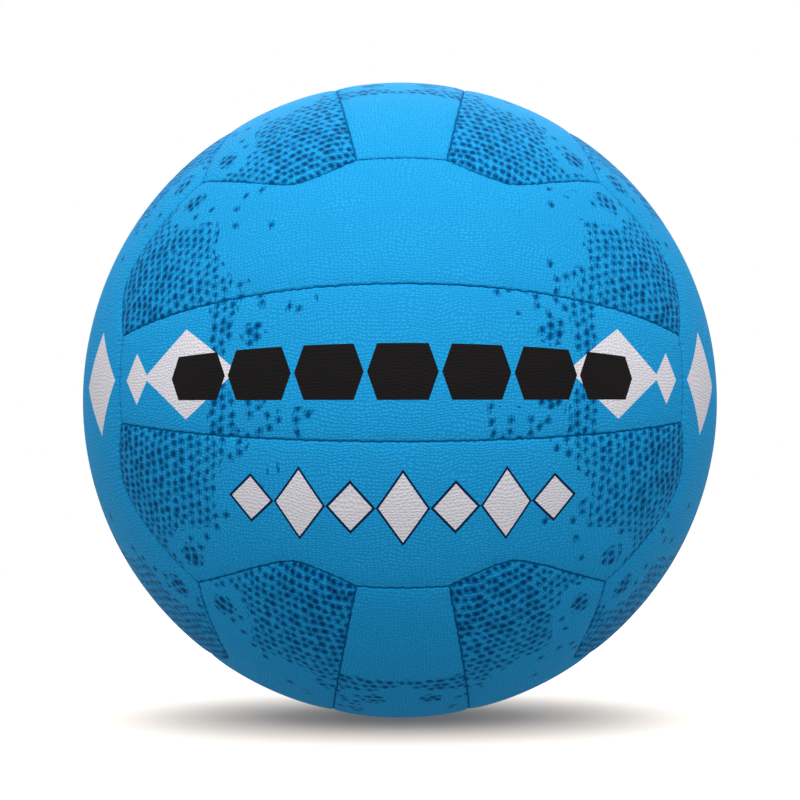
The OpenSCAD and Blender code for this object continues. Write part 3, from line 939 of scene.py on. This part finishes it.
lining_thread_pitch = 0.6 * mm
cloth, tree, out = new_material("lining cloth")
place = node_of(tree, "ShaderNodeTexCoord").outputs["Object"]
threads = use_group(tree, weave, {"Place": place, "Rate": float(np.pi / lining_thread_pitch)})
glue = node_of(tree, "ShaderNodeTexNoise", {"Scale": 45.0, "Detail": 3.0})
tree.links.new(place, glue.inputs["Vector"])
over = smooth_of(tree, threads.outputs["Over"], -0.2, 0.2)
colour = mixed(tree, over, (0.72, 0.68, 0.56, 1), (0.62, 0.58, 0.47, 1))
colour = mixed(tree, smooth_of(tree, glue.outputs["Fac"], 0.55, 0.8), colour, (0.55, 0.47, 0.33, 1))
bump = node_of(tree, "ShaderNodeBump", {"Strength": 0.8, "Distance": 0.1 * mm})
tree.links.new(threads.outputs["Height"], bump.inputs["Height"])
skin = node_of(tree, "ShaderNodeBsdfPrincipled", {"Roughness": 0.85})
tree.links.new(colour, skin.inputs["Base Color"])
tree.links.new(bump.outputs[0], skin.inputs["Normal"])
tree.links.new(skin.outputs[0], out.inputs["Surface"])


def finish_nodes(first_word, finish):
    """Gives a finish to every node of the frame whose name starts with a word."""
    for name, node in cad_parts.items():
        if name.startswith(first_word):
            node.data.materials.clear()
            node.data.materials.append(finish)


finish_nodes("lining", cloth)

# Stitches
# Waxed polyester thread draws the turned edges of two covers together, one short length for each
# stitch. It lies at the bottom of the creases.
twist_pitch = 0.25 * mm
thread, tree, out = new_material("waxed thread")
place = node_of(tree, "ShaderNodeTexCoord").outputs["Object"]
strands = use_group(tree, weave, {"Place": place, "Rate": float(np.pi / twist_pitch)})
over = smooth_of(tree, strands.outputs["Over"], -0.2, 0.2)
colour = mixed(tree, over, (0.78, 0.78, 0.75, 1), (0.66, 0.66, 0.62, 1))
bump = node_of(tree, "ShaderNodeBump", {"Strength": 0.8, "Distance": 0.05 * mm})
tree.links.new(strands.outputs["Height"], bump.inputs["Height"])
skin = node_of(tree, "ShaderNodeBsdfPrincipled", {"Roughness": 0.45})
tree.links.new(colour, skin.inputs["Base Color"])
tree.links.new(bump.outputs[0], skin.inputs["Normal"])
tree.links.new(skin.outputs[0], out.inputs["Surface"])
finish_nodes("stitches", thread)

# Bladder
# A moulded butyl bladder fills the ball. Its rubber is black and matte, with a bloom of chalk that
# keeps it from sticking to the linings.
rubber, group_in, group_out = group_of(
    "moulded rubber", [("Place", "NodeSocketVector")],
    [("Grain", "NodeSocketFloat"), ("Bloom", "NodeSocketFloat")])
grain = node_of(rubber, "ShaderNodeTexNoise", {"Scale": 900.0, "Detail": 4.0})
rubber.links.new(group_in.outputs["Place"], grain.inputs["Vector"])
bloom = node_of(rubber, "ShaderNodeTexNoise", {"Scale": 60.0, "Detail": 3.0})
rubber.links.new(group_in.outputs["Place"], bloom.inputs["Vector"])
rubber.links.new(grain.outputs["Fac"], group_out.inputs["Grain"])
rubber.links.new(smooth_of(rubber, bloom.outputs["Fac"], 0.35, 0.75), group_out.inputs["Bloom"])


def rubber_material(name, colour, bloomed, roughness):
    """Moulded rubber from its clean colour to its colour under the bloom."""
    made, tree, out = new_material(name)
    surface = use_group(tree, rubber, {"Place": node_of(tree, "ShaderNodeTexCoord").outputs["Object"]})
    bump = node_of(tree, "ShaderNodeBump", {"Strength": 0.5, "Distance": 0.08 * mm})
    tree.links.new(surface.outputs["Grain"], bump.inputs["Height"])
    skin = node_of(tree, "ShaderNodeBsdfPrincipled", {"Roughness": roughness})
    tree.links.new(mixed(tree, surface.outputs["Bloom"], colour, bloomed), skin.inputs["Base Color"])
    tree.links.new(bump.outputs[0], skin.inputs["Normal"])
    tree.links.new(skin.outputs[0], out.inputs["Surface"])
    return made


butyl = rubber_material("bladder rubber", (0.012, 0.012, 0.013, 1), (0.045, 0.044, 0.042, 1), 0.5)
finish_nodes("bladder", butyl)

# Valve
# The valve's patch is cured onto the bladder, and its housing reaches out through the lining and the
# cover. The softer plug with the needle bore is pressed into it and shows at the middle of the back.
valve_rubber = rubber_material("valve rubber", (0.018, 0.018, 0.02, 1), (0.037, 0.037, 0.038, 1), 0.55)
finish_nodes("valve_patch", valve_rubber)
finish_nodes("valve_housing", valve_rubber)
plug_rubber = rubber_material("plug rubber", (0.035, 0.035, 0.038, 1), (0.06, 0.06, 0.062, 1), 0.5)
finish_nodes("valve_plug", plug_rubber)
